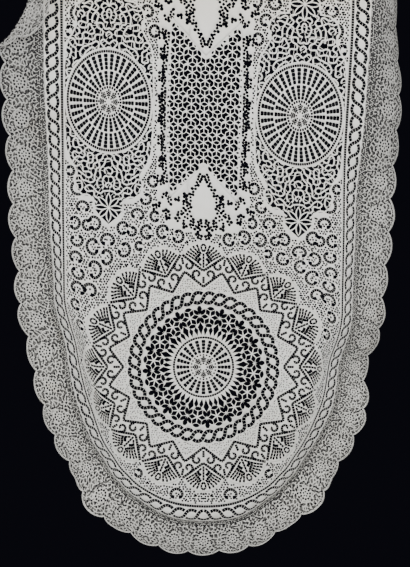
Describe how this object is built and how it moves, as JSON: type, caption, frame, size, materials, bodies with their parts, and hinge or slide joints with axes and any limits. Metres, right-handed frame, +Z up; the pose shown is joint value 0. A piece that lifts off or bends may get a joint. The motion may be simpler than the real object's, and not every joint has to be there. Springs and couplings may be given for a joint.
{
  "type": "lace tablecloth",
  "caption": "Long oval lace tablecloth hung face on by its top edge, with a net panel, wheel and rosette insets, a braid band and a scalloped lace border.",
  "frame": {"origin": "the middle of the cloth's top edge, where it is held up", "axes": "+Z up, +X to the viewer's right, and the front of the cloth faces -Y"},
  "size_m": [1.643, 0.3523, 3.5556],
  "materials": {
    "field_linen": "matte",
    "braid_linen": "matte",
    "border_lace": "matte",
    "net_lace": "matte",
    "wheel_lace": "matte",
    "star_linen": "matte",
    "rose_lace": "matte"
  },
  "bodies": {
    "root": {"field": "field_linen", "braid_band": "braid_linen", "border": "border_lace", "net_panel": "net_lace", "wheel_left": "wheel_lace", "wheel_right": "wheel_lace", "star_lower": "star_linen", "star_upper": "star_linen", "rose_lower": "rose_lace", "rose_upper": "rose_lace"}
  },
  "joints": []
}
